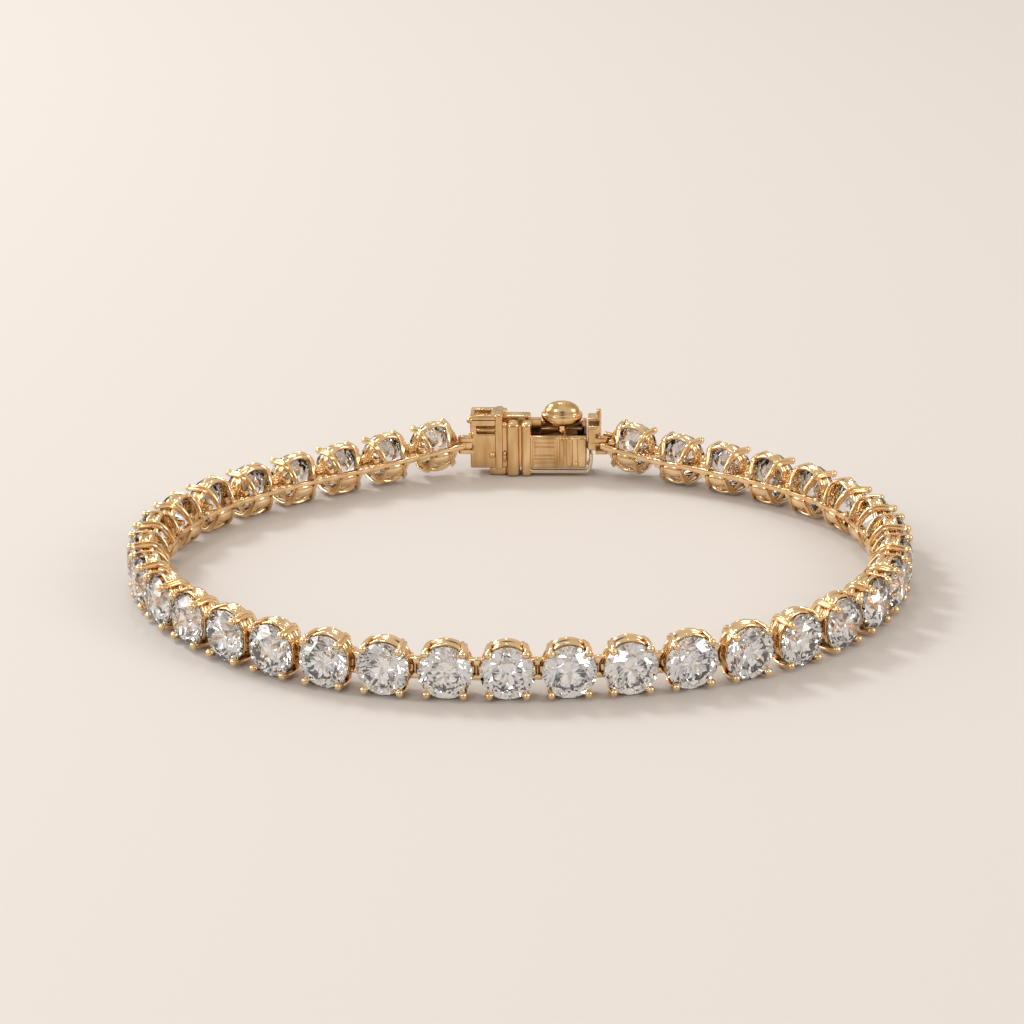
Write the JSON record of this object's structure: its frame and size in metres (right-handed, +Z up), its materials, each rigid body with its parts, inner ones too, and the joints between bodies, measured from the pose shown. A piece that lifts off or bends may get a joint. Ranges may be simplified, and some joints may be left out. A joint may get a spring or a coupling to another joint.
{
  "type": "tennis bracelet",
  "caption": "Line bracelet of round brilliant-cut stones in four-prong gold baskets, closed by a box clasp with a push button and a wire safety catch.",
  "frame": {"origin": "on the floor, under the middle of the whole bracelet", "axes": "+Y towards the clasp, +X along the loop's long way with the push button's side of the clasp at +X, +Z up out of the loop"},
  "size_m": [0.0672, 0.0568, 0.007],
  "materials": {
    "setting_gold": "polished yellow gold, lightly burnished",
    "clasp_gold": "polished yellow gold with fine handling scratches",
    "wire_gold": "drawn and polished yellow gold wire",
    "stone": "colourless brilliant-cut stone, polished facets"
  },
  "bodies": {
    "bracelet": {"setting_chain_left": "setting_gold", "setting_chain_right": "setting_gold", "clasp_box": "clasp_gold", "clasp_tongue": "clasp_gold", "stone_01": "stone", "stone_02": "stone", "stone_03": "stone", "stone_04": "stone", "stone_05": "stone", "stone_06": "stone", "stone_07": "stone", "stone_08": "stone", "stone_09": "stone", "stone_10": "stone", "stone_11": "stone", "stone_12": "stone", "stone_13": "stone", "stone_14": "stone", "stone_15": "stone", "stone_16": "stone", "stone_17": "stone", "stone_18": "stone", "stone_19": "stone", "stone_20": "stone", "stone_21": "stone", "stone_22": "stone", "stone_23": "stone", "stone_24": "stone", "stone_25": "stone", "stone_26": "stone", "stone_27": "stone", "stone_28": "stone", "stone_29": "stone", "stone_30": "stone", "stone_31": "stone", "stone_32": "stone", "stone_33": "stone", "stone_34": "stone", "stone_35": "stone"},
    "button": {"push_button": "clasp_gold"},
    "catch": {"safety_catch": "wire_gold"}
  },
  "joints": [
    {"name": "button_press", "type": "slide", "parent": "bracelet", "child": "button", "axis": [0, 0, -1], "range_m": [0, 0.00045], "stiffness_N_per_m": 300},
    {"name": "catch_swing", "type": "hinge", "parent": "bracelet", "child": "catch", "pos_m": [-0.00032, 0.02696, 0.0005], "axis": [0, 1, 0], "range_deg": [0, 90]}
  ]
}
